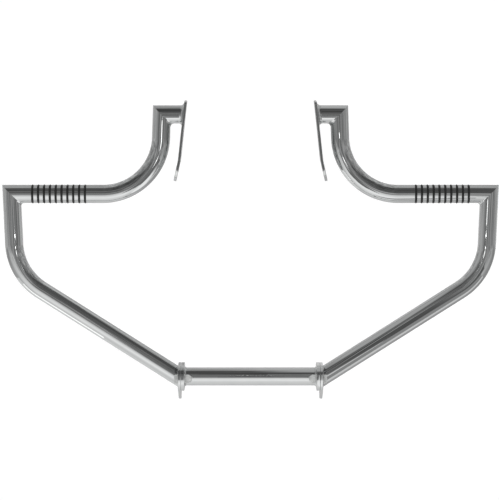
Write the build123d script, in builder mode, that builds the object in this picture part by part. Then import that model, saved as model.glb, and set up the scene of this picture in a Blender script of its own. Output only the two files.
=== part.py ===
from build123d import *
from math import asin, atan2, cos, degrees, radians, sin, sqrt, tan
import os

os.makedirs("parts", exist_ok=True)

# A chromed crash bar for the front of a motorcycle: a crossbar between two side bars.
# X runs across the bike, Y to the rear and Z up. The origin is halfway between the two
# lower mounting holes, on their common axis. Sizes are in millimetres and degrees.

# Tube stock
tube_od = 31.75
tube_wall = 4.0
bend_radius = 101.6

# Centre line of the bars, from the crossbar outward and up
joint_half = 122.0
elbow_half = 411.5
elbow_height = 181.5
outer_run = 140.5
outer_flare = 5.5
riser_run = 139.0
riser_inset = 5.0
stub_reach = 37.0

# Rubber rings in the grip
ring_count = 10
ring_section = 3.4
ring_sides = 8
ring_pitch = 10.2
ring_inset = 36.7
grip_tail = 30.9
groove_depth = 2.8
groove_width = 3.8
ring_clearance = 0.03

# Bolted flanges between the crossbar and the side bars
flange_thickness = 5.0
crossbar_flange_thickness = 6.4
flange_rim = 0.4
ear_gap = 1.1
ear_margin = 4.0

# Lower mounting tab, part of the side flange
tab_setback = 30.0
tab_drop = 31.0
tab_radius = 13.0
tab_hole_diameter = 10.5

# Upper frame bracket, a bent strap on the end of the stub
bracket_thickness = 5.0
bracket_margin = 1.1
bracket_lean = 6.3
bracket_fall = 79.5
bracket_foot = 38.0
bracket_foot_lean = 12.6
bracket_bend_radius = 14.0
bracket_top_radius = 5.0
bracket_foot_flat = 0.4
bracket_hole_diameter = 10.5

# Softened edges of the polished plates
plate_edge = 0.7

# Weld fillets
plate_weld_leg = 4.0
side_weld_leg = 2.0
bracket_weld_leg = 6.0
corner_weld_radius = 5.0
upper_weld_radius = 7.0
weld_toe = 0.15

# Flange hardware
bolt_diameter = 8.0
bolt_head_height = 5.3
bolt_end = 0.5
bolt_end_chamfer = 0.9
bolt_hole_clearance = 1.0
hex_across_flats = 13.0
hex_crown = 0.75
nut_height = 12.0
nut_hex_height = 7.5
nut_bore_depth = 9.0
thread_clearance = 0.1
washer_od = 16.0
washer_clearance = 0.6
washer_thickness = 1.6

# Sizes that follow from these
tube_radius = tube_od / 2
side_start = joint_half + flange_thickness
crossbar_end = joint_half - crossbar_flange_thickness
grip_height = elbow_height + outer_run
stub_height = grip_height + riser_run
corner_half = elbow_half + outer_flare
ring_halves = [corner_half - ring_inset - index * ring_pitch for index in range(ring_count)]
riser_turn = 90 - degrees(atan2(riser_inset, riser_run))
crook_half = ring_halves[-1] - grip_tail - bend_radius * tan(radians(riser_turn / 2))
peak_half = crook_half - riser_inset
side_lean = degrees(atan2(elbow_height, elbow_half - side_start))
weld_reach = plate_weld_leg + weld_toe + plate_edge
side_weld_reach = side_weld_leg + weld_toe + plate_edge
bracket_weld_reach = bracket_weld_leg + weld_toe + plate_edge

# Local X runs along the bike's X and local Y runs up, measured from the crossbar axis
bar_y = -tab_setback
bar_z = tab_drop
bar_plane = Plane(origin=(0, bar_y, bar_z), x_dir=(1, 0, 0), z_dir=(0, -1, 0))


def bar_point(half, height):
    """Point in the plane of the bars."""
    return Vector(half, bar_y, bar_z + height)


def bar_direction(angle):
    """Direction in the plane of the bars, turned up from straight outward."""
    return Vector(cos(radians(angle)), 0, sin(radians(angle)))


def cross_plane(half, height=0):
    """Plane across the bike, with local X to the rear and local Y up."""
    return Plane(origin=bar_point(half, height), x_dir=(0, 1, 0), z_dir=(1, 0, 0))


def tube_profile(path):
    """Hollow round section across the start of a tube's path."""
    with BuildSketch(path ^ 0) as profile:
        Circle(tube_radius)
        Circle(tube_radius - tube_wall, mode=Mode.SUBTRACT)
    return profile.sketch


def mitre_plane(point, incoming, outgoing):
    """Plane that shares the corner between two tubes, facing along the outgoing one."""
    return Plane(origin=point, z_dir=(incoming + outgoing).normalized())


flange_point = bar_point(side_start, 0)
elbow = bar_point(elbow_half, elbow_height)
corner = bar_point(corner_half, grip_height)
crook = bar_point(crook_half, grip_height)
peak = bar_point(peak_half, stub_height)

lower_direction = (elbow - flange_point).normalized()
outer_direction = (corner - elbow).normalized()
riser_direction = (peak - crook).normalized()
inward = Vector(-1, 0, 0)

outer_mitre = mitre_plane(corner, outer_direction, inward)
upper_mitre = mitre_plane(peak, riser_direction, inward)

# Each tube is swept past its ends by this much and then cut back to them
overrun = tube_od

# The right-hand pieces by name; the left-hand ones are their mirror images
right_parts = {}

# Lower tube: rises outward from the flange, then bends up to the outer corner
with BuildPart() as lower_tube:
    with BuildLine() as lower_path:
        FilletPolyline(
            flange_point - lower_direction * overrun,
            elbow,
            corner + outer_direction * overrun,
            radius=bend_radius,
        )
    sweep(tube_profile(lower_path.line), path=lower_path.line)
    split(bisect_by=cross_plane(side_start), keep=Keep.TOP)
    split(bisect_by=outer_mitre, keep=Keep.BOTTOM)
right_parts["lower_tube"] = lower_tube.part

# Grip tube: runs inward with the ring grooves, then bends up to the upper corner
groove_radius = tube_radius - groove_depth
with BuildPart() as grip_tube:
    with BuildLine() as grip_path:
        FilletPolyline(
            corner - inward * overrun,
            crook,
            peak + riser_direction * overrun,
            radius=bend_radius,
        )
    sweep(tube_profile(grip_path.line), path=grip_path.line)
    split(bisect_by=outer_mitre, keep=Keep.TOP)
    split(bisect_by=upper_mitre, keep=Keep.BOTTOM)
    for half in ring_halves:
        with BuildSketch(cross_plane(half, grip_height)):
            Circle(tube_od)
            Circle(groove_radius, mode=Mode.SUBTRACT)
        extrude(amount=groove_width / 2, both=True, mode=Mode.SUBTRACT)
right_parts["grip_tube"] = grip_tube.part

# Rubber rings, stretched into the grooves of both grips, with a section of a few flat sides
ring_middle_radius = groove_radius + ring_section / 2 + ring_clearance
with BuildPart() as grip_rings:
    with BuildSketch(bar_plane):
        with Locations(*[(half, grip_height + ring_middle_radius) for half in ring_halves]):
            RegularPolygon(ring_section / 2, ring_sides, major_radius=False, rotation=180 / ring_sides)
    revolve(axis=Axis(bar_point(0, grip_height), inward))
    mirror(about=Plane.YZ)
grip_rings.part.label = "grip_rings"
export_step(grip_rings.part, "parts/grip_rings.step")

# Frame bracket: a strap that hangs from the stub, with its foot bent outward
bracket_width = tube_od + 2 * (bracket_weld_reach + bracket_margin)
strap_out = bar_direction(bracket_lean)
strap_down = bar_direction(bracket_lean - 90)
foot_out = bar_direction(bracket_foot_lean)
foot_down = bar_direction(bracket_foot_lean - 90)
strap_seat = peak + inward * stub_reach
strap_middle = strap_seat - strap_out * (bracket_thickness / 2)
strap_top = strap_middle - strap_down * (bracket_width / 2)
strap_bend = strap_middle + strap_down * bracket_fall
foot_end = strap_bend + foot_down * bracket_foot
foot_hole = foot_end - foot_down * (bracket_width / 2)
with BuildPart() as frame_bracket:
    with BuildSketch(bar_plane):
        with BuildLine():
            FilletPolyline(
                *[bar_plane.to_local_coords(point) for point in (strap_top, strap_bend, foot_end)],
                radius=bracket_bend_radius,
            )
        trace(line_width=bracket_thickness)
    extrude(amount=bracket_width / 2, both=True)
    end_faces = frame_bracket.faces().sort_by(Axis.Z)
    foot_corners = end_faces[0].edges().sort_by(SortBy.LENGTH)[:2]
    top_corners = end_faces[-1].edges().sort_by(SortBy.LENGTH)[:2]
    fillet(foot_corners, radius=(bracket_width - bracket_foot_flat) / 2)
    fillet(top_corners, radius=bracket_top_radius)
    broad_faces = frame_bracket.faces().sort_by(SortBy.AREA)[-4:]
    seam_edges = frame_bracket.edges().filter_by(Axis.Y)
    rim_edges = [edge for edge in broad_faces.edges() if edge not in seam_edges]
    chamfer(rim_edges, length=plate_edge)
    with BuildSketch(Plane(origin=foot_hole, z_dir=foot_out)):
        Circle(bracket_hole_diameter / 2)
    extrude(amount=bracket_thickness, both=True, mode=Mode.SUBTRACT)
right_parts["frame_bracket"] = frame_bracket.part

# Upper stub: from the upper corner to the bracket's outboard face
strap_face = Plane(origin=strap_seat, x_dir=-strap_down, z_dir=strap_out)
with BuildPart() as upper_stub:
    with BuildLine() as stub_path:
        Line(peak - inward * overrun, strap_seat + inward * overrun)
    sweep(tube_profile(stub_path.line), path=stub_path.line)
    split(bisect_by=upper_mitre, keep=Keep.TOP)
    split(bisect_by=strap_face, keep=Keep.TOP)
right_parts["upper_stub"] = upper_stub.part

# Flange plates: round-ended, with a bolt at each end, and on the side flange the mounting tab as well
flange_radius = tube_radius / cos(radians(side_lean)) + side_weld_reach + flange_rim
ear_offset = tube_radius + weld_reach + ear_gap + washer_od / 2
ear_radius = washer_od / 2 + ear_margin
ear_places = [(-ear_offset, 0), (ear_offset, 0)]
end_offset = ear_offset + ear_radius - flange_radius
end_places = [(-end_offset, 0), (end_offset, 0)]
tab_place = (tab_setback, -tab_drop)

with BuildPart() as crossbar_flange:
    with BuildSketch(cross_plane(crossbar_end)):
        with Locations(*end_places):
            Circle(flange_radius)
        make_hull()
    extrude(amount=crossbar_flange_thickness)
    chamfer(crossbar_flange.faces().filter_by(Axis.X).edges(), length=plate_edge)
    with BuildSketch(cross_plane(crossbar_end)):
        with Locations(*ear_places):
            Circle((bolt_diameter + bolt_hole_clearance) / 2)
    extrude(amount=crossbar_flange_thickness, mode=Mode.SUBTRACT)
right_parts["crossbar_flange"] = crossbar_flange.part

with BuildPart() as side_flange:
    with BuildSketch(cross_plane(joint_half)):
        with Locations(*end_places):
            Circle(flange_radius)
        with Locations(tab_place):
            Circle(tab_radius)
        make_hull()
    extrude(amount=flange_thickness)
    chamfer(side_flange.faces().filter_by(Axis.X).edges(), length=plate_edge)
    with BuildSketch(cross_plane(joint_half)):
        with Locations(*ear_places):
            Circle((bolt_diameter + bolt_hole_clearance) / 2)
        with Locations(tab_place):
            Circle(tab_hole_diameter / 2)
    extrude(amount=flange_thickness, mode=Mode.SUBTRACT)
right_parts["side_flange"] = side_flange.part

# Weld fillets where a tube meets a plate: a concave collar around the tube
collar_steps = (0.0, 0.1, 0.3, 0.6, 1.0)


def plate_weld(face, tube_lean, leg):
    """Collar on a plate's face around a tube that leans from the face's normal to its local X."""
    lean = radians(tube_lean)
    tube_axis = face.z_dir * cos(lean) + face.x_dir * sin(lean)
    with BuildPart() as collar:
        for step in collar_steps:
            rise = step * leg
            growth = leg * (1 - sqrt(1 - (1 - step) ** 2)) + weld_toe
            with BuildSketch(face.offset(rise)):
                with Locations((rise * tan(lean), 0)):
                    Ellipse(tube_radius / cos(lean) + growth, tube_radius + growth)
        loft(ruled=True)
        with BuildSketch(Plane(origin=face.origin, z_dir=tube_axis)):
            Circle(tube_radius)
        extrude(amount=tube_od, both=True, mode=Mode.SUBTRACT)
    return collar.part


up = Vector(0, 0, 1)
crossbar_face = Plane(origin=bar_point(crossbar_end, 0), x_dir=up, z_dir=inward)
side_face = Plane(origin=flange_point, x_dir=up, z_dir=-inward)
right_collars = {
    "crossbar_flange_welds": plate_weld(crossbar_face, 0, plate_weld_leg),
    "side_flange_welds": plate_weld(side_face, side_lean, side_weld_leg),
    "bracket_welds": plate_weld(strap_face, -bracket_lean, bracket_weld_leg),
}

# The collars of one kind on both sides
for name, right_collar in right_collars.items():
    with BuildPart() as collar_pair:
        add(right_collar)
        mirror(about=Plane.YZ)
    collar_pair.part.label = name
    export_step(collar_pair.part, f"parts/{name}.step")

# Weld fillets in the inner corners of the mitres, thinning out towards the tubes' sides
slice_angles = (-70, -48, -24, 0, 24, 48, 70)


def corner_weld(point, first, second, weld_radius):
    """Fillet between two tubes that leave a corner along the two directions."""
    middle = (first + second).normalized()
    half_angle = radians(first.get_angle(second)) / 2
    with BuildPart() as bead:
        for angle in slice_angles:
            scale = cos(radians(angle))
            radius = weld_radius * scale
            leg = radius / tan(half_angle)
            sag = radius / sin(half_angle) - radius
            side = Vector(0, tube_radius * sin(radians(angle)), 0)
            root = point + side + middle * (tube_radius * scale / sin(half_angle))
            slice_plane = Plane(origin=root, x_dir=middle, z_dir=(0, -1, 0))
            toes = [slice_plane.to_local_coords(root + along * leg) for along in (first, second)]
            with BuildSketch(slice_plane):
                with BuildLine():
                    ThreePointArc(toes[0], (sag, 0), toes[1])
                    Polyline(toes[1], (-leg, 0), toes[0])
                make_face()
        loft()
        for along in (first, second):
            with BuildSketch(Plane(origin=point, z_dir=along)):
                Circle(tube_radius)
            extrude(amount=2 * tube_od, both=True, mode=Mode.SUBTRACT)
    return bead.part


right_parts["outer_corner_weld"] = corner_weld(corner, -outer_direction, inward, corner_weld_radius)
right_parts["upper_corner_weld"] = corner_weld(peak, -riser_direction, inward, upper_weld_radius)

# Crossbar tube, square at both ends against its flanges
with BuildPart() as crossbar_tube:
    with BuildSketch(cross_plane(-crossbar_end)):
        Circle(tube_radius)
        Circle(tube_radius - tube_wall, mode=Mode.SUBTRACT)
    extrude(amount=2 * crossbar_end)
crossbar_tube.part.label = "crossbar_tube"
export_step(crossbar_tube.part, "parts/crossbar_tube.step")

# Flange hardware: heads outboard, domed cap nuts inboard, a washer under each
head_seat = side_start + washer_thickness
nut_seat = crossbar_end - washer_thickness
bolt_tip = nut_seat - nut_bore_depth + bolt_end
hex_radius = hex_across_flats / 2 / cos(radians(30))
crown_radius = hex_radius - hex_crown / tan(radians(30))

with BuildPart() as head_form:
    with BuildSketch(cross_plane(head_seat)):
        with Locations(*ear_places):
            Circle(hex_radius)
    extrude(amount=bolt_head_height)
    crown_edges = head_form.edges().filter_by(GeomType.CIRCLE).group_by(Axis.X)[-1]
    chamfer(crown_edges, length=hex_crown, length2=hex_radius - crown_radius)

with BuildPart() as flange_bolts:
    with BuildSketch(cross_plane(head_seat)):
        with Locations(*ear_places):
            RegularPolygon(hex_radius, 6)
    extrude(amount=bolt_head_height)
    add(head_form.part, mode=Mode.INTERSECT)
    with BuildSketch(cross_plane(bolt_tip)):
        with Locations(*ear_places):
            Circle(bolt_diameter / 2)
    extrude(amount=head_seat - bolt_tip)
    tip_edges = flange_bolts.edges().filter_by(GeomType.CIRCLE).group_by(Axis.X)[0]
    chamfer(tip_edges, length=bolt_end_chamfer)
    mirror(about=Plane.YZ)
flange_bolts.part.label = "flange_bolts"
export_step(flange_bolts.part, "parts/flange_bolts.step")

dome_rise = nut_height - nut_hex_height
dome_radius = (crown_radius**2 + dome_rise**2) / (2 * dome_rise)
dome_turn = asin(crown_radius / dome_radius) / 2
dome_middle = (nut_height - dome_radius * (1 - cos(dome_turn)), dome_radius * sin(dome_turn))
crown_start = (nut_hex_height - hex_crown, hex_radius)
crown_edge = (nut_hex_height, crown_radius)
with BuildPart() as nut_form:
    for ear_y, ear_z in ear_places:
        ear_point = bar_point(nut_seat, ear_z) + Vector(0, ear_y, 0)
        with BuildSketch(Plane(origin=ear_point, x_dir=inward, z_dir=(0, 1, 0))):
            with BuildLine():
                Polyline((nut_height, 0), (0, 0), (0, hex_radius), crown_start, crown_edge)
                ThreePointArc(crown_edge, dome_middle, (nut_height, 0))
            make_face()
        revolve(axis=Axis(ear_point, inward))

with BuildPart() as flange_nuts:
    with BuildSketch(cross_plane(nut_seat)):
        with Locations(*ear_places):
            RegularPolygon(hex_radius, 6)
    extrude(amount=-nut_height)
    add(nut_form.part, mode=Mode.INTERSECT)
    with BuildSketch(cross_plane(nut_seat)):
        with Locations(*ear_places):
            Circle((bolt_diameter + thread_clearance) / 2)
    extrude(amount=-nut_bore_depth, mode=Mode.SUBTRACT)
    mirror(about=Plane.YZ)
flange_nuts.part.label = "flange_nuts"
export_step(flange_nuts.part, "parts/flange_nuts.step")

with BuildPart() as flange_washers:
    for seat in (side_start, nut_seat):
        with BuildSketch(cross_plane(seat)):
            with Locations(*ear_places):
                Circle(washer_od / 2)
                Circle((bolt_diameter + washer_clearance) / 2, mode=Mode.SUBTRACT)
        extrude(amount=washer_thickness)
    mirror(about=Plane.YZ)
flange_washers.part.label = "flange_washers"
export_step(flange_washers.part, "parts/flange_washers.step")

# The right side as modelled, and its mirror image on the left
for name, right_part in right_parts.items():
    right_part.label = f"right_{name}"
    export_step(right_part, f"parts/right_{name}.step")
    with BuildPart() as left_part:
        mirror(right_part, about=Plane.YZ)
    left_part.part.label = f"left_{name}"
    export_step(left_part.part, f"parts/left_{name}.step")
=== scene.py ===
import bpy
import bmesh
import math
from mathutils import Matrix, Vector


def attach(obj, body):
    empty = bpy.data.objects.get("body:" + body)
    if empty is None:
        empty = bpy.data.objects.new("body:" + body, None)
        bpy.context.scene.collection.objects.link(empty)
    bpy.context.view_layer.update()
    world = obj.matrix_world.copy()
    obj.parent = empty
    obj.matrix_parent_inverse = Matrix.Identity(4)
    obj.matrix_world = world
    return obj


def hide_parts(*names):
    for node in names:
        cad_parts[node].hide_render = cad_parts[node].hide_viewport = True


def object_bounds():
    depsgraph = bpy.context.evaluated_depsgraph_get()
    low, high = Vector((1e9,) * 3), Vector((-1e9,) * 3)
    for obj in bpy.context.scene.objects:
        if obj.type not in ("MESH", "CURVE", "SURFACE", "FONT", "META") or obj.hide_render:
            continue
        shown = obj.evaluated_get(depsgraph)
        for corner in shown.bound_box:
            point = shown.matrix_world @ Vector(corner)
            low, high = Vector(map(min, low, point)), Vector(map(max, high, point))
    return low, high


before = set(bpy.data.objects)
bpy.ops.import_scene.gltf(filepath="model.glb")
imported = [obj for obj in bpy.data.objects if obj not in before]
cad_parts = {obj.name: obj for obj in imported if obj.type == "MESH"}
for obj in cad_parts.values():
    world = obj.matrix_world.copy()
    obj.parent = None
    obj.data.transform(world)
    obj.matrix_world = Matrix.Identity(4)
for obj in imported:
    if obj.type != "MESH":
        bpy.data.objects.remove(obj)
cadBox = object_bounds()
scene = bpy.context.scene
scene.view_settings.view_transform = "Standard"
mm = 0.001
print("frame loaded:", len(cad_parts), "nodes")


def hexToLinear(hexColour):
    channels = [int(hexColour[i:i + 2], 16) / 255 for i in (1, 3, 5)]
    return [c / 12.92 if c <= 0.04045 else ((c + 0.055) / 1.055) ** 2.4 for c in channels] + [1.0]


# Adds one node with its settings; an input is a value or the socket that feeds it
def addNode(tree, kind, inputs=None, stops=None, **settings):
    node = tree.nodes.new(kind)
    for name, value in settings.items():
        setattr(node, name, value)
    for socket, value in (inputs or {}).items():
        if isinstance(value, bpy.types.NodeSocket):
            tree.links.new(value, node.inputs[socket])
        else:
            node.inputs[socket].default_value = value
    for index, (position, grey) in enumerate(stops or []):
        elements = node.color_ramp.elements
        element = elements[index] if index < 2 else elements.new(position)
        element.position = position
        element.color = (grey, grey, grey, 1.0)
    return node


def newMaterial(name):
    material = bpy.data.materials.new(name)
    material.use_nodes = True
    material.node_tree.nodes.clear()
    return material, material.node_tree


# Metal with a haze that changes its colour and gloss, and a slight waviness
def makeMetal(name, look):
    material, tree = newMaterial(name)
    place = addNode(tree, "ShaderNodeTexCoord").outputs["Object"]
    haze = addNode(tree, "ShaderNodeTexNoise", {
        "Vector": place, "Scale": 1000 / look["hazeMm"], "Detail": look["hazeDetail"],
    })
    wave = addNode(tree, "ShaderNodeTexNoise", {
        "Vector": place, "Scale": 1000 / look["waveMm"], "Detail": look["waveDetail"],
    })
    colour = addNode(tree, "ShaderNodeMix", {
        0: haze.outputs["Fac"], 6: hexToLinear(look["bright"]), 7: hexToLinear(look["hazy"]),
    }, data_type="RGBA")
    gloss = addNode(tree, "ShaderNodeMapRange", {
        "Value": haze.outputs["Fac"], "From Min": look["hazeSpan"][0], "From Max": look["hazeSpan"][1],
        "To Min": look["roughness"][0], "To Max": look["roughness"][1],
    })
    bump = addNode(tree, "ShaderNodeBump", {
        "Height": wave.outputs["Fac"], "Distance": look["waveHeightMm"] * mm, "Strength": 1.0,
    })
    shader = addNode(tree, "ShaderNodeBsdfPrincipled", {
        "Base Color": colour.outputs[2], "Metallic": look["metallic"],
        "Roughness": gloss.outputs[0], "Normal": bump.outputs[0],
    })
    addNode(tree, "ShaderNodeOutputMaterial", {"Surface": shader.outputs[0]})
    return material


# Chrome plate on buffed steel: a near mirror, faintly wavy and a little hazy where it was buffed
chromeLook = {
    "bright": "#DDDEDE", "hazy": "#D3D5D5", "hazeMm": 22, "hazeDetail": 5.0, "hazeSpan": (0.3, 0.7),
    "waveMm": 26, "waveDetail": 0.5, "waveHeightMm": 0.045, "roughness": (0.02, 0.05), "metallic": 1.0,
}
# Zinc-flake coat on the fasteners: pale and matt with a weak metal sheen, lighter than the chrome
zincLook = {
    "bright": "#DFE0DF", "hazy": "#C8CAC9", "hazeMm": 4, "hazeDetail": 5.0, "hazeSpan": (0.3, 0.7),
    "waveMm": 1.2, "waveDetail": 2.0, "waveHeightMm": 0.006, "roughness": (0.3, 0.42), "metallic": 0.45,
}
# Nitrile rubber, moulded: black with a soft sheen, a fine skin and a little dust
rubberLook = {
    "black": "#121212", "dusty": "#272726", "grainMm": 0.9, "grainDetail": 2.0, "grainHeightMm": 0.02,
    "dustMm": 7, "dustDetail": 6.0, "roughness": (0.45, 0.65), "ior": 1.52,
}


def makeRubber(name, look):
    material, tree = newMaterial(name)
    place = addNode(tree, "ShaderNodeTexCoord").outputs["Object"]
    dust = addNode(tree, "ShaderNodeTexNoise", {
        "Vector": place, "Scale": 1000 / look["dustMm"], "Detail": look["dustDetail"],
    })
    grain = addNode(tree, "ShaderNodeTexNoise", {
        "Vector": place, "Scale": 1000 / look["grainMm"], "Detail": look["grainDetail"],
    })
    colour = addNode(tree, "ShaderNodeMix", {
        0: dust.outputs["Fac"], 6: hexToLinear(look["black"]), 7: hexToLinear(look["dusty"]),
    }, data_type="RGBA")
    gloss = addNode(tree, "ShaderNodeMapRange", {
        "Value": dust.outputs["Fac"], "To Min": look["roughness"][0], "To Max": look["roughness"][1],
    })
    bump = addNode(tree, "ShaderNodeBump", {
        "Height": grain.outputs["Fac"], "Distance": look["grainHeightMm"] * mm, "Strength": 1.0,
    })
    shader = addNode(tree, "ShaderNodeBsdfPrincipled", {
        "Base Color": colour.outputs[2], "Roughness": gloss.outputs[0],
        "Normal": bump.outputs[0], "IOR": look["ior"],
    })
    addNode(tree, "ShaderNodeOutputMaterial", {"Surface": shader.outputs[0]})
    return material


chromePlate = makeMetal("chromePlate", chromeLook)
zincFlake = makeMetal("zincFlake", zincLook)
nitrileRubber = makeRubber("nitrileRubber", rubberLook)
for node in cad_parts.values():
    node.data.materials.clear()
    node.data.materials.append(chromePlate)
print("materials made")

# Points closer than this many millimetres are one, and steeper edges than these degrees stay sharp
joinGap = 0.0005
sharpAngle = {"crisp": 35, "soft": 60}


# Turns a built mesh in millimetres into a piece of the bar that stands for its CAD nodes
def finishPiece(name, build, material, nodes, edges="crisp", flatFaces=False):
    bmesh.ops.remove_doubles(build, verts=build.verts, dist=joinGap)
    bmesh.ops.recalc_face_normals(build, faces=build.faces)
    bmesh.ops.scale(build, vec=(mm, mm, mm), verts=build.verts)
    mesh = bpy.data.meshes.new(name)
    build.to_mesh(mesh)
    build.free()
    mesh.shade_smooth()
    mesh.set_sharp_from_angle(angle=math.radians(sharpAngle[edges]))
    mesh.materials.append(material)
    piece = bpy.data.objects.new(name, mesh)
    scene.collection.objects.link(piece)
    if flatFaces:
        piece.modifiers.new("faceNormals", "WEIGHTED_NORMAL").keep_sharp = True
    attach(piece, "root")
    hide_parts(*nodes)


# Joins rows of points with quads; a closed row list joins its last row to its first
def addSkin(build, rows, closed=False):
    rings = [[build.verts.new(point) for point in row] for row in rows]
    count = len(rings[0])
    pairs = list(zip(rings, rings[1:]))
    if closed:
        pairs.append((rings[-1], rings[0]))
    for near, far in pairs:
        for i in range(count):
            j = (i + 1) % count
            build.faces.new((near[i], near[j], far[j], far[i]))


# Angles once round, in equal steps
def anglesRound(count):
    return [2 * math.pi * i / count for i in range(count)]


# A row of points made for the right side, put on either side
def onSide(side, row):
    return [Vector((point.x * side, point.y, point.z)) for point in row]


# Centre lines of the bar in millimetres, as the CAD has them: across from the middle, and up
bar = {
    "tubeRadius": 15.875, "wall": 4.0, "bendRadius": 101.6, "setback": 30.0, "rise": 31.0,
    "jointHalf": 122.0, "plate": 5.0, "crossbarPlate": 6.4, "stubReach": 37.0,
    "elbow": (411.5, 181.5), "corner": (417.0, 322.0), "crook": (159.589, 322.0), "peak": (154.589, 461.0),
    "segments": 128, "bendStep": 2.0, "cutClear": 1.25,
}
sides = {"right": 1, "left": -1}
across = Vector((1, 0, 0))
rearward = Vector((0, 1, 0))
upward = Vector((0, 0, 1))
tubeRadius = bar["tubeRadius"]


def barPoint(half, height):
    return Vector((half, -bar["setback"], bar["rise"] + height))


# Stations round the bend of a line, as (point, direction) pairs; the caller adds the straight ends
def bendStations(start, knee, end):
    first = (knee - start).normalized()
    second = (end - knee).normalized()
    turn = first.angle(second)
    tangent = bar["bendRadius"] * math.tan(turn / 2)
    normal = (second - first * first.dot(second)).normalized()
    centre = knee - first * tangent + normal * bar["bendRadius"]
    steps = math.ceil(math.degrees(turn) / bar["bendStep"])
    stations = []
    for step in range(steps + 1):
        angle = turn * step / steps
        outward = first * math.sin(angle) - normal * math.cos(angle)
        direction = first * math.cos(angle) + normal * math.sin(angle)
        stations.append((centre + outward * bar["bendRadius"], direction))
    return stations


# One round of points about a station, slid along the tube onto a plane where one is given
def tubeRow(point, direction, radius, cut=None):
    lift = direction.cross(rearward)
    row = []
    for angle in anglesRound(bar["segments"]):
        spot = point + (rearward * math.cos(angle) + lift * math.sin(angle)) * radius
        if cut:
            spot = spot + direction * ((cut[0] - spot).dot(cut[1]) / direction.dot(cut[1]))
        row.append(spot)
    return row


# Hollow tube over (point, direction, radius) stations, each end cut by a (point, normal) plane
def addTube(build, side, stations, startCut, endCut):
    bore = tubeRadius - bar["wall"]
    cuts = {0: startCut, len(stations) - 1: endCut}
    outside, inside = [], []
    for index, (point, direction, radius) in enumerate(stations):
        cut = cuts.get(index)
        outside.append(tubeRow(point, direction, radius, cut))
        inside.append(tubeRow(point, direction, bore, cut))
    addSkin(build, [onSide(side, row) for row in outside + inside[::-1]], closed=True)


flangePoint = barPoint(bar["jointHalf"] + bar["plate"], 0)
elbow = barPoint(*bar["elbow"])
corner = barPoint(*bar["corner"])
crook = barPoint(*bar["crook"])
peak = barPoint(*bar["peak"])
lowerDirection = (elbow - flangePoint).normalized()
outerDirection = (corner - elbow).normalized()
riserDirection = (peak - crook).normalized()
outerMitre = (corner, (outerDirection - across).normalized())
upperMitre = (peak, (riserDirection - across).normalized())

# Strap that hangs from the stub: its lean, its bent foot and its hole
bracket = {
    "thickness": 5.0, "width": 47.65, "lean": 6.3, "fall": 79.5, "foot": 38.0, "footLean": 12.6,
    "bend": 14.0, "topRadius": 5.0, "hole": 5.25, "edge": 0.9, "bendCuts": 8,
}
strapSeat = peak - across * bar["stubReach"]


# Out from a leaning strap's face, and down it
def leanDirections(degrees):
    lean = math.radians(degrees)
    out = Vector((math.cos(lean), 0, math.sin(lean)))
    return out, Vector((math.sin(lean), 0, -math.cos(lean)))


strapOut, strapDown = leanDirections(bracket["lean"])

# Ring grooves in the grip, with softened edges
grip = {
    "ringCount": 10, "ringInset": 36.7, "ringPitch": 10.2, "grooveDepth": 2.8, "grooveWidth": 3.8,
    "edge": 0.25, "edgeSteps": 3, "edgeHold": 0.12,
}
firstRing = bar["corner"][0] - grip["ringInset"]
ringHalves = [firstRing - i * grip["ringPitch"] for i in range(grip["ringCount"])]
grooveRadius = tubeRadius - grip["grooveDepth"]


# Groove from edge to edge, as (offset along the tube, radius) pairs
def grooveProfile():
    half = grip["grooveWidth"] / 2
    profile = [(half + grip["edge"] + grip["edgeHold"], tubeRadius)]
    for step in range(grip["edgeSteps"] + 1):
        angle = math.pi / 2 * step / grip["edgeSteps"]
        offset = half + grip["edge"] * (1 - math.sin(angle))
        profile.append((offset, tubeRadius - grip["edge"] * (1 - math.cos(angle))))
    profile.append((half, grooveRadius))
    return [(-offset, radius) for offset, radius in profile] + profile[::-1]


def atTubeRadius(pairs):
    return [(point, direction, tubeRadius) for point, direction in pairs]


# A station next to each mitre or slanted end stands clear of the cut
cutClear = bar["cutClear"] * tubeRadius
lowerStations = atTubeRadius([
    (flangePoint, lowerDirection),
    (flangePoint + lowerDirection * cutClear, lowerDirection),
    *bendStations(flangePoint, elbow, corner),
    (corner - outerDirection * cutClear, outerDirection),
    (corner, outerDirection),
])
gripStations = atTubeRadius([(corner, -across), (corner - across * cutClear, -across)])
for half in ringHalves:
    for offset, radius in grooveProfile():
        gripStations.append((barPoint(half - offset, bar["corner"][1]), -across, radius))
gripStations += atTubeRadius([
    *bendStations(corner, crook, peak),
    (peak - riserDirection * cutClear, riserDirection),
    (peak, riserDirection),
])
stubStations = atTubeRadius([(peak, -across), (strapSeat, -across)])

for sideName, side in sides.items():
    for name, stations, startCut, endCut in (
        ("lower_tube", lowerStations, (flangePoint, across), outerMitre),
        ("grip_tube", gripStations, outerMitre, upperMitre),
        ("upper_stub", stubStations, upperMitre, (strapSeat, strapOut)),
    ):
        build = bmesh.new()
        addTube(build, side, stations, startCut, endCut)
        nodeName = sideName + "_" + name
        finishPiece("smooth_" + nodeName, build, chromePlate, [nodeName])

crossbarEnd = bar["jointHalf"] - bar["crossbarPlate"]
crossbarCuts = [(barPoint(-crossbarEnd, 0), across), (barPoint(crossbarEnd, 0), across)]
build = bmesh.new()
addTube(build, sides["right"], atTubeRadius(crossbarCuts), *crossbarCuts)
finishPiece("smooth_crossbar_tube", build, chromePlate, ["crossbar_tube"])
print("tubes swept")

# Rubber rings: round cords with a fine moulding line, drawn down into the grooves
ring = {"section": 3.4, "clearance": 0.03, "round": 24, "seam": 0.05}
ringMiddle = grooveRadius + ring["section"] / 2 + ring["clearance"]


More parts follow.
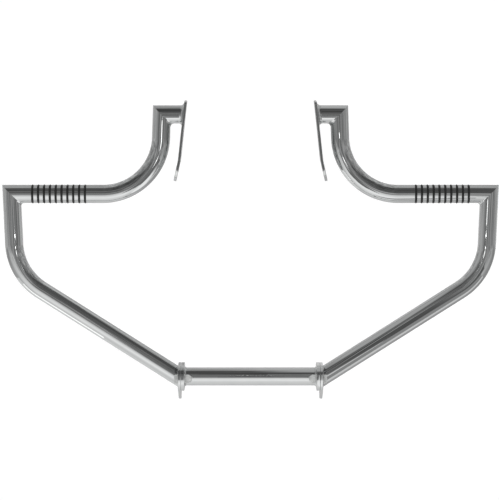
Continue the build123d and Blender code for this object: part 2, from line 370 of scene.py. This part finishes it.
def ringRow(side, half, turn):
    swell = ring["seam"] if turn in (0, ring["round"] // 2) else 0.0
    angle = 2 * math.pi * turn / ring["round"]
    cord = ring["section"] / 2 + swell
    place = barPoint(half + cord * math.sin(angle), bar["corner"][1])
    return onSide(side, tubeRow(place, across, ringMiddle + cord * math.cos(angle)))


build = bmesh.new()
for side in sides.values():
    for half in ringHalves:
        addSkin(build, [ringRow(side, half, turn) for turn in range(ring["round"])], closed=True)
finishPiece("round_grip_rings", build, nitrileRubber, ["grip_rings"], edges="soft")
print("rings in their grooves")

# Flat plates: a hull around circles, both faces' edges rounded by buffing, with holes
plateForm = {"outline": 240, "holeSteps": 48, "edgeSteps": 5, "holeEdge": 0.35, "flatness": 1e-6}


# Point of the hull that faces an angle, moved in by the inset
def hullPoint(circles, angle, inset):
    normal = Vector((math.cos(angle), math.sin(angle)))
    x, y, radius = max(circles, key=lambda c: c[0] * normal.x + c[1] * normal.y + c[2])
    return Vector((x, y)) + normal * (radius - inset)


# The plate lies in the local XY plane, halfway through its thickness
def addPlate(build, circles, holes, thickness, edge):
    half = thickness / 2
    rim = plateForm["holeEdge"]
    angles = anglesRound(plateForm["outline"])
    turns = anglesRound(plateForm["holeSteps"])
    rows = []
    for face in (-1, 1):
        steps = range(plateForm["edgeSteps"] + 1)
        for step in steps if face < 0 else reversed(steps):
            turn = math.pi / 2 * step / plateForm["edgeSteps"]
            inset = edge * (1 - math.sin(turn))
            height = face * (half - edge * (1 - math.cos(turn)))
            rows.append([Vector((*hullPoint(circles, a, inset), height)) for a in angles])
    addSkin(build, rows)
    for x, y, radius in holes:
        profile = [(radius + rim, -half), (radius, rim - half), (radius, half - rim), (radius + rim, half)]
        rows = [[Vector((x + r * math.cos(t), y + r * math.sin(t), z)) for t in turns] for r, z in profile]
        addSkin(build, rows)
    for face in (-half, half):
        onFace = {v for v in build.verts if abs(v.co.z - face) < plateForm["flatness"]}
        rims = [e for e in build.edges if e.is_boundary and onFace.issuperset(e.verts)]
        bmesh.ops.triangle_fill(build, use_beauty=True, edges=rims)


# Bolted flanges: round-ended with a bolt at each end, and on the side flange the mounting tab
flange = {
    "radius": 22.08, "endOffset": 19.745, "ears": ((-29.825, 0.0), (29.825, 0.0)), "boltHole": 4.5,
    "tab": (30.0, -31.0), "tabRadius": 13.0, "tabHole": 5.25, "edge": 0.9,
}
earHoles = [(x, y, flange["boltHole"]) for x, y in flange["ears"]]
plateCircles = [(end * flange["endOffset"], 0.0, flange["radius"]) for end in (-1, 1)]
tabCircle = (*flange["tab"], flange["tabRadius"])
tabHole = (*flange["tab"], flange["tabHole"])
# Local X of a flange runs to the rear, local Y up and local Z along the bar
crossFrame = Matrix((rearward, upward, across)).transposed()
for sideName, side in sides.items():
    for name, inner, thickness, circles, holes in (
        ("crossbar_flange", crossbarEnd, bar["crossbarPlate"], plateCircles, earHoles),
        ("side_flange", bar["jointHalf"], bar["plate"], plateCircles + [tabCircle], earHoles + [tabHole]),
    ):
        build = bmesh.new()
        addPlate(build, circles, holes, thickness, flange["edge"])
        middle = barPoint(side * (inner + thickness / 2), 0)
        place = Matrix.Translation(middle) @ crossFrame.to_4x4()
        bmesh.ops.transform(build, matrix=place, verts=build.verts)
        nodeName = sideName + "_" + name
        finishPiece("buffed_" + nodeName, build, chromePlate, [nodeName], flatFaces=True)

# The strap is made flat, local X down it and local Y across, then folded at its bend
strapHalf = bracket["width"] / 2
strapLength = strapHalf + bracket["fall"]
footCentre = strapLength + bracket["foot"] - strapHalf
topOffset = strapHalf - bracket["topRadius"]
strapCircles = [
    (bracket["topRadius"], -topOffset, bracket["topRadius"]),
    (bracket["topRadius"], topOffset, bracket["topRadius"]),
    (footCentre, 0.0, strapHalf),
]
strapHoles = [(footCentre, 0.0, bracket["hole"])]
foldDegrees = bracket["footLean"] - bracket["lean"]
foldReach = bracket["bend"] * math.tan(math.radians(foldDegrees) / 2)
foldStart = strapLength - foldReach
strapTop = strapSeat - strapOut * (bracket["thickness"] / 2) - strapDown * strapHalf
foldCentre = strapTop + strapDown * foldStart + strapOut * bracket["bend"]


def foldStrap(flat):
    along = flat.x - foldStart
    share = min(max(along / (2 * foldReach), 0.0), 1.0)
    out, down = leanDirections(bracket["lean"] + share * foldDegrees)
    centre = strapTop + strapDown * flat.x
    if share > 0:
        centre = foldCentre - out * bracket["bend"] + down * max(along - 2 * foldReach, 0.0)
    return centre + out * flat.z + rearward * flat.y


for sideName, side in sides.items():
    build = bmesh.new()
    addPlate(build, strapCircles, strapHoles, bracket["thickness"], bracket["edge"])
    for cutIndex in range(bracket["bendCuts"] + 1):
        place = strapLength + foldReach * (2 * cutIndex / bracket["bendCuts"] - 1)
        whole = build.verts[:] + build.edges[:] + build.faces[:]
        bmesh.ops.bisect_plane(build, geom=whole, plane_co=(place, 0, 0), plane_no=(1, 0, 0))
    for vert in build.verts:
        folded = foldStrap(vert.co.copy())
        vert.co = Vector((folded.x * side, folded.y, folded.z))
    nodeName = sideName + "_frame_bracket"
    finishPiece("buffed_" + nodeName, build, chromePlate, [nodeName], flatFaces=True)
print("plates buffed")

# Weld collars: hollow-ground fillets from a plate up onto a tube
collar = {"plateLeg": 4.0, "sideLeg": 2.0, "bracketLeg": 6.0, "toe": 0.04, "sink": 0.2, "steps": 14}


# Collar on a plane through the origin, about a tube that leans from the plane's normal
def addCollar(build, side, origin, normal, leanAxis, lean, leg):
    turns = anglesRound(bar["segments"])
    profile = []
    for step in range(collar["steps"] + 1):
        angle = math.pi / 2 * step / collar["steps"]
        profile.append((leg * (1 - math.cos(angle)), leg * (1 - math.sin(angle)) + collar["toe"]))
    profile += [(leg, -collar["sink"]), (0.0, -collar["sink"])]
    rows = []
    for rise, growth in profile:
        centre = origin + normal * rise + leanAxis * (rise * math.tan(lean))
        wide = tubeRadius / math.cos(lean) + growth
        deep = tubeRadius + growth
        row = [centre + leanAxis * (wide * math.cos(t)) + rearward * (deep * math.sin(t)) for t in turns]
        rows.append(onSide(side, row))
    addSkin(build, rows, closed=True)


sideLean = lowerDirection.angle(across)
strapLean = math.radians(bracket["lean"])
for nodeName, origin, normal, leanAxis, lean, leg in (
    ("crossbar_flange_welds", barPoint(crossbarEnd, 0), -across, upward, 0.0, collar["plateLeg"]),
    ("side_flange_welds", flangePoint, across, upward, sideLean, collar["sideLeg"]),
    ("bracket_welds", strapSeat, strapOut, strapDown, strapLean, collar["bracketLeg"]),
):
    build = bmesh.new()
    for side in sides.values():
        addCollar(build, side, origin, normal, leanAxis, lean, leg)
    finishPiece("smooth_" + nodeName, build, chromePlate, [nodeName], edges="soft")
print("weld collars smoothed")

# Flange hardware: hex bolts, domed cap nuts and flat washers
hardware = {
    "bolt": 4.0, "headHeight": 5.3, "acrossFlats": 13.0, "crown": 6.2065, "chamfer": 30.0, "boltEnd": 0.5,
    "nutHeight": 12.0, "nutHex": 7.5, "nutBore": 9.0, "clearance": 0.05, "domeSteps": 14,
    "washer": 8.0, "washerBore": 4.3, "washerThickness": 1.6, "edge": 0.25, "segments": 96,
}
headSeat = bar["jointHalf"] + bar["plate"] + hardware["washerThickness"]
nutSeat = crossbarEnd - hardware["washerThickness"]
boltTip = nutSeat - hardware["nutBore"] + hardware["boltEnd"]


# Reach of the hexagon at an angle
def hexRadius(angle):
    sixth = math.pi / 3
    return hardware["acrossFlats"] / 2 / math.cos((angle + sixth / 2) % sixth - sixth / 2)


# How far the chamfer has cut the corner back at an angle round the hexagon
def crownCut(angle):
    return max(hexRadius(angle) - hardware["crown"], 0.0) * math.tan(math.radians(hardware["chamfer"]))


def crownRadius(angle):
    return min(hexRadius(angle), hardware["crown"])


# Turned form about an ear's axis; each row gives (radius, place along the bar) at an angle
def addTurned(build, side, ear, rows, closed=False):
    turns = anglesRound(hardware["segments"])
    y, z = ear[0] - bar["setback"], ear[1] + bar["rise"]
    skin = []
    for row in rows:
        spots = [(row(t), t) for t in turns]
        skin.append([Vector((side * x, y + r * math.cos(t), z + r * math.sin(t))) for (r, x), t in spots])
    addSkin(build, skin, closed)


def plainRow(radius, x):
    return lambda angle: (radius, x)


headTop = headSeat + hardware["headHeight"]
boltRows = [
    plainRow(0.0, headTop),
    lambda a: (crownRadius(a), headTop),
    lambda a: (hexRadius(a), headTop - crownCut(a)),
    lambda a: (hexRadius(a), headSeat),
    plainRow(hardware["bolt"], headSeat),
    plainRow(hardware["bolt"], boltTip),
    plainRow(0.0, boltTip),
]

nutFar = nutSeat - hardware["nutHex"]
boreRadius = hardware["bolt"] + hardware["clearance"]
domeRise = hardware["nutHeight"] - hardware["nutHex"]
domeRadius = (hardware["crown"] ** 2 + domeRise ** 2) / (2 * domeRise)
domeTurn = math.asin(hardware["crown"] / domeRadius)
nutRows = [
    plainRow(0.0, nutSeat - hardware["nutBore"]),
    plainRow(boreRadius, nutSeat - hardware["nutBore"]),
    plainRow(boreRadius, nutSeat),
    lambda a: (crownRadius(a), nutSeat),
    lambda a: (hexRadius(a), nutSeat - crownCut(a)),
    lambda a: (hexRadius(a), nutFar + crownCut(a)),
    lambda a: (crownRadius(a), nutFar),
]
for step in range(hardware["domeSteps"], -1, -1):
    turn = domeTurn * step / hardware["domeSteps"]
    place = nutSeat - hardware["nutHeight"] + domeRadius * (1 - math.cos(turn))
    nutRows.append(plainRow(domeRadius * math.sin(turn), place))


def washerRows(x):
    far, edge = x + hardware["washerThickness"], hardware["edge"]
    return [
        plainRow(hardware["washerBore"], x), plainRow(hardware["washer"] - edge, x),
        plainRow(hardware["washer"], x + edge), plainRow(hardware["washer"], far - edge),
        plainRow(hardware["washer"] - edge, far), plainRow(hardware["washerBore"], far),
    ]


for name, forms, closed in (
    ("flange_bolts", [boltRows], False),
    ("flange_nuts", [nutRows], False),
    ("flange_washers", [washerRows(headSeat - hardware["washerThickness"]), washerRows(nutSeat)], True),
):
    build = bmesh.new()
    for side in sides.values():
        for ear in flange["ears"]:
            for rows in forms:
                addTurned(build, side, ear, rows, closed)
    finishPiece("plated_" + name, build, zincFlake, [name])
print("flange hardware in place")

# Camera: straight on and a little above, as the photograph looks
cameraView = {
    "aim": (-0.0018, -0.03, 0.2545), "elevation": 6.0, "distance": 5.0, "lensMm": 206.1, "sensorMm": 36.0,
}
aim = Vector(cameraView["aim"])
tilt = math.radians(cameraView["elevation"])
cameraData = bpy.data.cameras.new("photoCamera")
cameraData.sensor_fit = "HORIZONTAL"
cameraData.sensor_width = cameraView["sensorMm"]
cameraData.lens = cameraView["lensMm"]
camera = bpy.data.objects.new("photoCamera", cameraData)
camera.location = aim + Vector((0, -math.cos(tilt), math.sin(tilt))) * cameraView["distance"]
camera.rotation_euler = (math.pi / 2 - tilt, 0, 0)
scene.collection.objects.link(camera)
scene.camera = camera

# Studio: a pale floor below the bar, and around it a room that only the metal sees: glowing tones painted
# as reflections, not a lit room
studio = {
    "floorDrop": 1.0, "floorRadius": 120.0, "floorSegments": 96,
    "floorColour": "#E6E6E6", "floorGlow": 0.31,
    "shellRadius": 12.0, "shellSegments": (64, 32), "roomStrength": 1.1, "ambient": 0.55,
    "wobble": 0.16, "wobbleScale": 12.0, "wobbleDetail": 2.5, "paperEdge": -0.15,
    "clutter": 0.45, "clutterScale": 14.0, "clutterDetail": 2.0, "clutterEdge": 0.08,
    "clutterRise": (-0.35, -0.1),
    "wallSpan": (0.62, 0.88), "wallRise": 0.1, "wallTone": 0.33,
}
floorZ = cadBox[0][2] - studio["floorDrop"]

# The room's painted reflection tones by the angle over the bar in degrees: behind, under it, the front,
# over it, behind
overTones = [
    (-180, 0.47), (-150, 0.52), (-109, 0.66), (-83, 0.74), (-62, 0.82), (-46, 1.0), (-34, 0.9), (-26, 0.84),
    (-18, 0.66), (-10, 0.52), (-5, 0.4), (2, 0.34), (8, 0.27), (14, 0.15), (25, 0.1), (38, 0.11),
    (46, 0.07), (62, 0.08), (81, 0.09), (86, 0.32), (94, 0.37), (105, 0.38), (128, 0.46), (180, 0.47),
]
# The tones round the horizon in degrees: behind, the left, the front, the right, behind
roundTones = [
    (-180, 0.5), (-124, 0.48), (-93, 0.4), (-70, 0.36), (-50, 0.27), (-32, 0.17), (-15, 0.24), (0, 0.27),
    (18, 0.27), (35, 0.24), (52, 0.22), (70, 0.26), (91, 0.34), (115, 0.44), (150, 0.5), (180, 0.5),
]
# How much of the paper's light comes from each side, from left to right
sideTones = [(-1.0, 0.45), (-0.6, 0.85), (-0.35, 1.0), (0.1, 1.0), (0.45, 0.62), (1.0, 0.42)]
# The heights over which the horizon shows
horizonShare = [(-0.2, 0.0), (-0.13, 1.0), (0.03, 1.0), (0.09, 0.0)]


# Stops of a ramp for tones that are given from -reach to reach
def rampStops(tones, reach):
    return [((place + reach) / (2 * reach), tone) for place, tone in tones]


# Tone of the room in a direction from the bar, painted for the metal to reflect
def addRoomTone(tree, direction):
    unit = addNode(tree, "ShaderNodeVectorMath", {0: direction}, operation="NORMALIZE").outputs[0]
    axes = addNode(tree, "ShaderNodeSeparateXYZ", {0: unit})
    right = axes.outputs["X"]
    up = axes.outputs["Z"]
    flipped = addNode(tree, "ShaderNodeMath", {0: axes.outputs["Y"], 1: -1.0}, operation="MULTIPLY")
    front = flipped.outputs[0]

    # Tones over and under the bar, with wavy borders
    noise = addNode(tree, "ShaderNodeTexNoise", {
        "Vector": unit, "Scale": studio["wobbleScale"], "Detail": studio["wobbleDetail"],
    })
    shift = addNode(tree, "ShaderNodeMapRange", {
        "Value": noise.outputs["Fac"], "To Min": -studio["wobble"], "To Max": studio["wobble"],
    })
    over = addNode(tree, "ShaderNodeMath", {0: up, 1: front}, operation="ARCTAN2")
    bent = addNode(tree, "ShaderNodeMath", {0: over.outputs[0], 1: shift.outputs[0]}, operation="ADD")
    turn = addNode(tree, "ShaderNodeMapRange", {
        "Value": bent.outputs[0], "From Min": -math.pi, "From Max": math.pi,
    })
    arch = addNode(tree, "ShaderNodeValToRGB", {0: turn.outputs[0]}, stops=rampStops(overTones, 180))

    # Lighter walls at both ends of the dark ceiling
    aside = addNode(tree, "ShaderNodeMath", {0: right}, operation="ABSOLUTE")
    outer = addNode(tree, "ShaderNodeMapRange", {
        "Value": aside.outputs[0], "From Min": studio["wallSpan"][0], "From Max": studio["wallSpan"][1],
    })
    upper = addNode(tree, "ShaderNodeMapRange", {"Value": up, "From Max": studio["wallRise"]})
    wall = addNode(tree, "ShaderNodeMath", {
        0: outer.outputs[0], 1: upper.outputs[0],
    }, operation="MULTIPLY")
    walled = addNode(tree, "ShaderNodeMix", {
        0: wall.outputs[0], 6: arch.outputs[0], 7: (*[studio["wallTone"]] * 3, 1.0),
    }, data_type="RGBA")

    # The paper below is dimmer to the sides
    sideways = addNode(tree, "ShaderNodeMapRange", {"Value": right, "From Min": -1.0})
    fall = addNode(tree, "ShaderNodeValToRGB", {0: sideways.outputs[0]}, stops=rampStops(sideTones, 1))
    below = addNode(tree, "ShaderNodeMapRange", {"Value": up, "From Max": studio["paperEdge"]})
    shaded = addNode(tree, "ShaderNodeMix", {
        0: below.outputs[0], 6: walled.outputs[2], 7: fall.outputs[0],
    }, data_type="RGBA", blend_type="MULTIPLY")

    # The horizon has its own tones
    compass = addNode(tree, "ShaderNodeMath", {0: right, 1: front}, operation="ARCTAN2")
    lap = addNode(tree, "ShaderNodeMapRange", {
        "Value": compass.outputs[0], "From Min": -math.pi, "From Max": math.pi,
    })
    horizon = addNode(tree, "ShaderNodeValToRGB", {0: lap.outputs[0]}, stops=rampStops(roundTones, 180))
    height = addNode(tree, "ShaderNodeMapRange", {"Value": up, "From Min": -1.0})
    share = addNode(tree, "ShaderNodeValToRGB", {0: height.outputs[0]}, stops=rampStops(horizonShare, 1))
    tone = addNode(tree, "ShaderNodeMix", {
        0: share.outputs[0], 6: shaded.outputs[2], 7: horizon.outputs[0],
    }, data_type="RGBA")

    # Patches of clutter, painted into the reflected tones, break up all but the paper
    clutter = addNode(tree, "ShaderNodeTexNoise", {
        "Vector": unit, "Scale": studio["clutterScale"], "Detail": studio["clutterDetail"],
    })
    patches = addNode(tree, "ShaderNodeMapRange", {
        "Value": clutter.outputs["Fac"],
        "From Min": 0.5 - studio["clutterEdge"], "From Max": 0.5 + studio["clutterEdge"],
        "To Min": 1 - studio["clutter"], "To Max": 1 + studio["clutter"],
    })
    above = addNode(tree, "ShaderNodeMapRange", {
        "Value": up, "From Min": studio["clutterRise"][0], "From Max": studio["clutterRise"][1],
    })
    broken = addNode(tree, "ShaderNodeMix", {
        0: above.outputs[0], 6: tone.outputs[2], 7: patches.outputs[0],
    }, data_type="RGBA", blend_type="MULTIPLY")
    return broken.outputs[2]


def linkStage(name, mesh, material):
    stageObject = bpy.data.objects.new(name, mesh)
    scene.collection.objects.link(stageObject)
    mesh.materials.append(material)
    return stageObject


# Floor: white to the eye with the bar's shadow kept, and the room's painted reflection tones to the metal
def makeFloorMaterial():
    material, tree = newMaterial("paleFloor")
    rays = addNode(tree, "ShaderNodeLightPath")
    place = addNode(tree, "ShaderNodeTexCoord").outputs["Object"]
    fromBar = Vector((0, 0, floorZ)) - aim
    direction = addNode(tree, "ShaderNodeVectorMath", {0: place, 1: fromBar}, operation="ADD")
    tone = addRoomTone(tree, direction.outputs[0])
    diffuse = addNode(tree, "ShaderNodeBsdfDiffuse", {"Color": hexToLinear(studio["floorColour"])})
    seen = addNode(tree, "ShaderNodeMath", {
        0: rays.outputs["Is Camera Ray"], 1: rays.outputs["Is Transmission Ray"],
    }, operation="MAXIMUM")
    glow = addNode(tree, "ShaderNodeMath", {
        0: seen.outputs[0], 1: studio["floorGlow"],
    }, operation="MULTIPLY")
    white = addNode(tree, "ShaderNodeEmission", {"Strength": glow.outputs[0]})
    eye = addNode(tree, "ShaderNodeAddShader", {0: diffuse.outputs[0], 1: white.outputs[0]})
    mirrored = addNode(tree, "ShaderNodeEmission", {"Color": tone, "Strength": studio["roomStrength"]})
    either = addNode(tree, "ShaderNodeMixShader", {
        0: rays.outputs["Is Glossy Ray"], 1: eye.outputs[0], 2: mirrored.outputs[0],
    })
    addNode(tree, "ShaderNodeOutputMaterial", {"Surface": either.outputs[0]})
    return material


floorMesh = bpy.data.meshes.new("floor")
floorBuild = bmesh.new()
bmesh.ops.create_circle(
    floorBuild, cap_ends=True, segments=studio["floorSegments"], radius=studio["floorRadius"],
)
floorBuild.to_mesh(floorMesh)
floorBuild.free()
floor = linkStage("floor", floorMesh, makeFloorMaterial())
floor.location.z = floorZ


# Shell: the same painted reflection tones above the floor
def makeShellMaterial():
    material, tree = newMaterial("studioShell")
    place = addNode(tree, "ShaderNodeTexCoord").outputs["Object"]
    tone = addRoomTone(tree, place)
    glow = addNode(tree, "ShaderNodeEmission", {"Color": tone, "Strength": studio["roomStrength"]})
    addNode(tree, "ShaderNodeOutputMaterial", {"Surface": glow.outputs[0]})
    return material


shellMesh = bpy.data.meshes.new("studioShell")
shellBuild = bmesh.new()
shellLaps, shellRows = studio["shellSegments"]
bmesh.ops.create_uvsphere(
    shellBuild, u_segments=shellLaps, v_segments=shellRows, radius=studio["shellRadius"],
)
shellBuild.to_mesh(shellMesh)
shellBuild.free()
shell = linkStage("studioShell", shellMesh, makeShellMaterial())
shell.location = aim
mirrorOnly = [shell]

# Cards that only the metal sees glow though they are no lamps, and paint reflections onto the bar: bright
# strips and a thin bright card in front are painted highlights, dark flags and blinds before them are
# painted dark reflections that also keep those highlights off other parts, strips along the right lower
# tube paint its dark and light bands and a line, an upright sheet paints a light reflection on the left
# bend, and sheets low on each side paint light and shade into the paper's reflection.
# A card with a fade is an oval that thins out to its edge and shows on one face only.
cards = {
    "elbowStrip": {"centre": (0.0, -1.15, 0.236), "size": (0.1, 0.052), "tilt": 90, "tone": 2.6},
    "elbowHighlight": {"centre": (0.0, -1.15, 0.187), "size": (0.14, 0.01), "tilt": 90, "tone": 4.5},
    "riserStrip": {"centre": (0.0, -1.15, 0.36), "size": (0.12, 0.1), "tilt": 90, "tone": 2.8},
    "elbowBlind": {"centre": (-0.2085, -0.6, 0.2815), "size": (0.07, 0.077), "tilt": 90, "tone": 0.3},
    "bendBlind": {"centre": (0.38, -0.15, 0.2215), "size": (0.05, 0.039), "tilt": 90, "tone": 0.25},
    "lowRiserBlind": {"centre": (0.0785, -0.6, 0.385), "size": (0.09, 0.05), "tilt": 90, "tone": 0.25},
    "highRiserBlind": {"centre": (0.0785, -0.6, 0.451), "size": (0.09, 0.06), "tilt": 90, "tone": 0.25},
    "middleFlag": {"centre": (0.0, -0.6, 0.11), "size": (0.13, 0.22), "tilt": 90, "tone": 0.15},
    "leftFlag": {"centre": (-0.15, -0.6, 0.43), "size": (0.09, 0.2), "tilt": 90, "tone": 0.15},
    "rightFlag": {"centre": (0.15, -0.6, 0.43), "size": (0.09, 0.2), "tilt": 90, "tone": 0.15},
    "leftBlind": {"centre": (-0.106, -0.6, 0.17), "size": (0.132, 0.26), "tilt": 90, "tone": 0.2},
    "rightBlind": {"centre": (0.106, -0.6, 0.17), "size": (0.132, 0.26), "tilt": 90, "tone": 0.2},
    "upperGlow": {"centre": (-0.47, -1.2, 1.05), "size": (0.55, 0.25), "tilt": 90, "tone": 0.19},
    "tubeShade": {
        "centre": (0.2465, -0.15, 0.109), "size": (0.36, 0.11), "tilt": -90, "turn": -32.1,
        "tone": 0.1, "fade": 0.5,
    },
    "tubeLight": {
        "centre": (0.167, -0.053, 0.234), "size": (0.4, 0.2), "tilt": -171, "turn": -32.1,
        "tone": 0.46, "fade": 0.5,
    },
    "tubeLine": {
        "centre": (0.2215, -0.14, 0.149), "size": (0.34, 0.014), "tilt": -90, "turn": -32.1,
        "tone": 0.4, "fade": 0.5,
    },
    "bendSheet": {
        "centre": (0.13, -0.375, -0.18), "size": (0.82, 0.69), "tilt": 0, "turn": -90,
        "tone": 1.1, "fade": 0.35,
    },
    "leftSheet": {"centre": (-1.31, 1.45, -0.98), "size": (1.38, 3.1), "tilt": 0, "tone": 0.8},
    "leftEdge": {"centre": (-1.28, 0.055, -0.97), "size": (0.76, 0.49), "tilt": 0, "tone": 1.5},
    "rightSheet": {"centre": (1.32, -0.235, -0.97), "size": (1.44, 0.67), "tilt": 0, "tone": 0.76},
    "rightShade": {"centre": (1.32, -1.485, -0.98), "size": (1.44, 1.83), "tilt": 0, "tone": 0.31},
    "rightDusk": {"centre": (1.6, -4.7, -0.98), "size": (1.6, 4.6), "tilt": 0, "tone": 0.13},
}
for name, card in cards.items():
    material, tree = newMaterial(name)
    surface = addNode(tree, "ShaderNodeEmission", {"Strength": card["tone"]})
    if "fade" in card:
        square = addNode(tree, "ShaderNodeTexCoord").outputs["UV"]
        centred = addNode(tree, "ShaderNodeMapping", {
            "Vector": square, "Location": (-1, -1, 0), "Scale": (2, 2, 1),
        })
        oval = addNode(tree, "ShaderNodeTexGradient", {
            "Vector": centred.outputs[0],
        }, gradient_type="SPHERICAL")
        thick = addNode(tree, "ShaderNodeMapRange", {
            "Value": oval.outputs["Fac"], "From Max": card["fade"],
        })
        back = addNode(tree, "ShaderNodeNewGeometry").outputs["Backfacing"]
        shown = addNode(tree, "ShaderNodeMath", {
            0: thick.outputs[0], 1: back,
        }, operation="SUBTRACT", use_clamp=True)
        clear = addNode(tree, "ShaderNodeBsdfTransparent")
        surface = addNode(tree, "ShaderNodeMixShader", {
            0: shown.outputs[0], 1: clear.outputs[0], 2: surface.outputs[0],
        })
    addNode(tree, "ShaderNodeOutputMaterial", {"Surface": surface.outputs[0]})
    cardMesh = bpy.data.meshes.new(name)
    cardBuild = bmesh.new()
    cardBuild.loops.layers.uv.new("square")
    bmesh.ops.create_grid(cardBuild, x_segments=1, y_segments=1, size=0.5, calc_uvs=True)
    bmesh.ops.scale(cardBuild, vec=(*card["size"], 1), verts=cardBuild.verts)
    tilted = Matrix.Rotation(math.radians(card["tilt"]), 3, "X")
    turned = Matrix.Rotation(math.radians(card.get("turn", 0)), 3, "Y")
    bmesh.ops.rotate(cardBuild, matrix=turned @ tilted, verts=cardBuild.verts)
    cardBuild.to_mesh(cardMesh)
    cardBuild.free()
    cardObject = linkStage(name, cardMesh, material)
    cardObject.location = card["centre"]
    mirrorOnly.append(cardObject)
for stageObject in mirrorOnly:
    stageObject.visible_camera = False
    stageObject.visible_diffuse = False
    stageObject.visible_shadow = False
    stageObject.visible_transmission = False

# World: white to the eye, a soft even light for everything else
world = bpy.data.worlds.new("whiteStudio")
scene.world = world
world.use_nodes = True
worldTree = world.node_tree
worldTree.nodes.clear()
rays = addNode(worldTree, "ShaderNodeLightPath")
mirrored = addNode(worldTree, "ShaderNodeMath", {
    0: rays.outputs["Is Camera Ray"], 1: rays.outputs["Is Glossy Ray"],
}, operation="MAXIMUM")
seen = addNode(worldTree, "ShaderNodeMath", {
    0: mirrored.outputs[0], 1: rays.outputs["Is Transmission Ray"],
}, operation="MAXIMUM")
level = addNode(worldTree, "ShaderNodeMapRange", {"Value": seen.outputs[0], "To Min": studio["ambient"]})
sky = addNode(worldTree, "ShaderNodeBackground", {"Color": (1, 1, 1, 1), "Strength": level.outputs[0]})
addNode(worldTree, "ShaderNodeOutputWorld", {"Surface": sky.outputs[0]})

# Two broad soft lamps, out of sight of the metal
lamps = [
    {"name": "keyLamp", "from": (-0.55, -0.6, 1.0), "strength": 1.0, "spread": 28},
    {"name": "fillLamp", "from": (0.9, -0.5, 0.9), "strength": 0.5, "spread": 40},
]
for lamp in lamps:
    lampData = bpy.data.lights.new(lamp["name"], "SUN")
    lampData.energy = lamp["strength"]
    lampData.angle = math.radians(lamp["spread"])
    lampObject = bpy.data.objects.new(lamp["name"], lampData)
    lampObject.rotation_euler = (-Vector(lamp["from"])).to_track_quat("-Z", "Y").to_euler()
    lampObject.visible_glossy = False
    scene.collection.objects.link(lampObject)
print("camera, floor, room and lamps in place")
